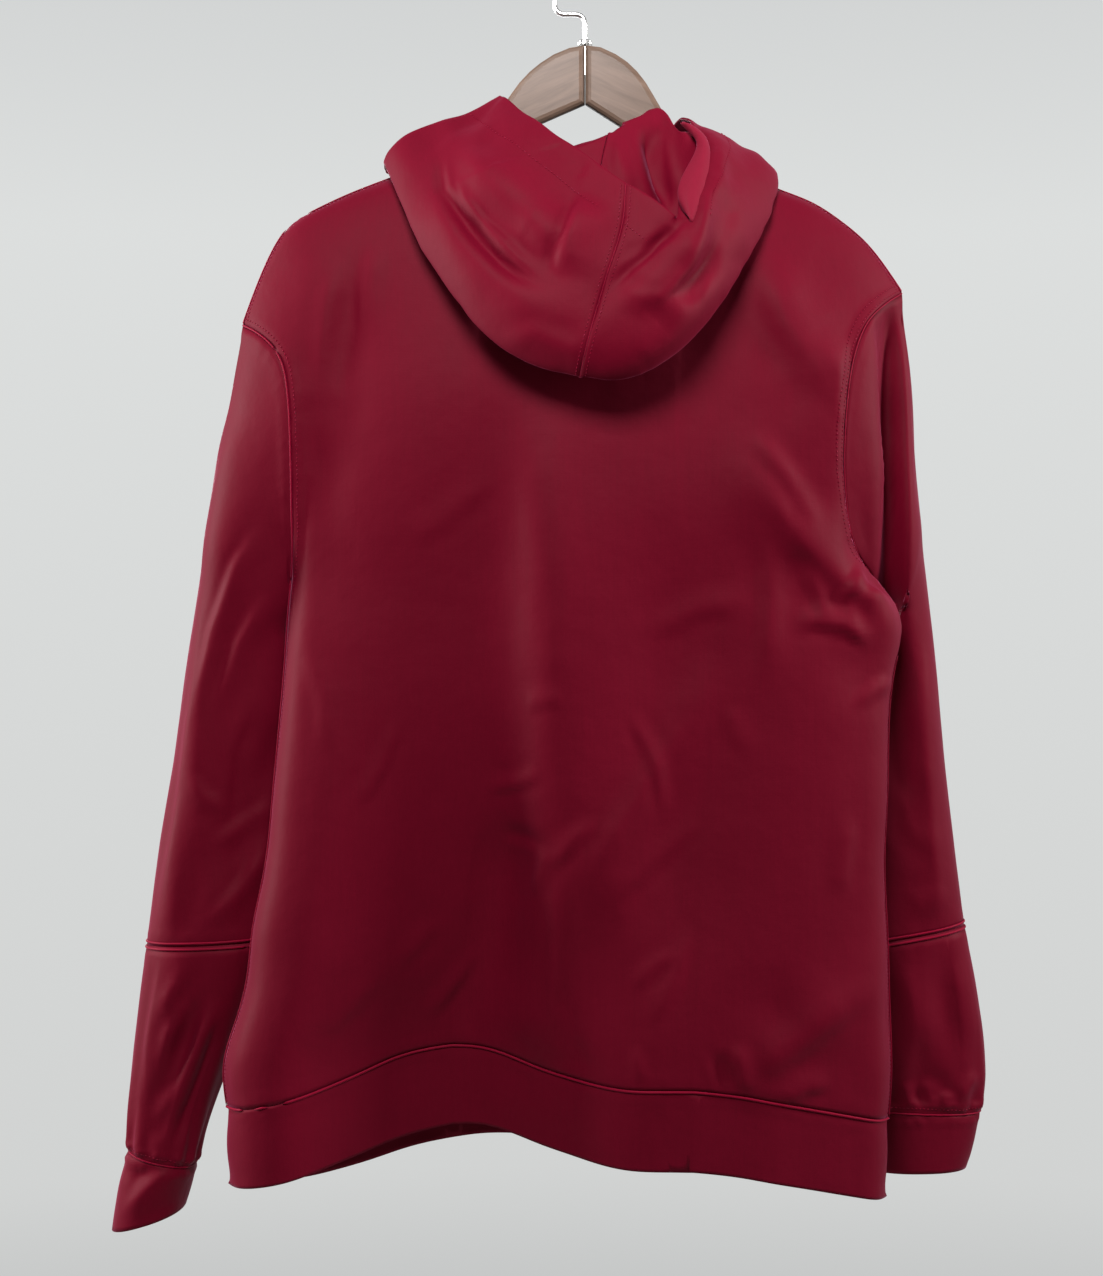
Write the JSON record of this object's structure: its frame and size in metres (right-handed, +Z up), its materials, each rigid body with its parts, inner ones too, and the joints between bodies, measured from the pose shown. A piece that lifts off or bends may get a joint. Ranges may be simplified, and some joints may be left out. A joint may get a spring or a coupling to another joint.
{
  "type": "hoodie on a hanger",
  "caption": "Crimson pullover hoodie in smooth double knit on a wooden coat hanger with a wire hook, its hood hanging down the back.",
  "frame": {"origin": "inner top of the hook's bend, where a rail carries the hanger", "axes": "+Z up, the garment hangs along -Z; its back faces +Y and its front -Y; the wearer's left sleeve is at +X"},
  "size_m": [0.6812, 0.2079, 0.9673],
  "materials": {
    "crimson_knit": "smooth double knit with a soft sheen",
    "hanger_wood": "satin lacquer",
    "hook_steel": "bright"
  },
  "bodies": {
    "root": {"back": "crimson_knit", "front": "crimson_knit", "sleeve_left_upper": "crimson_knit", "sleeve_left_lower": "crimson_knit", "cuff_left": "crimson_knit", "sleeve_right_upper": "crimson_knit", "sleeve_right_lower": "crimson_knit", "cuff_right": "crimson_knit", "waistband": "crimson_knit", "hood_left": "crimson_knit", "hood_right": "crimson_knit", "hanger_arm_left": "hanger_wood", "hanger_arm_right": "hanger_wood", "hook": "hook_steel", "hook_washer": "hook_steel"}
  },
  "joints": []
}
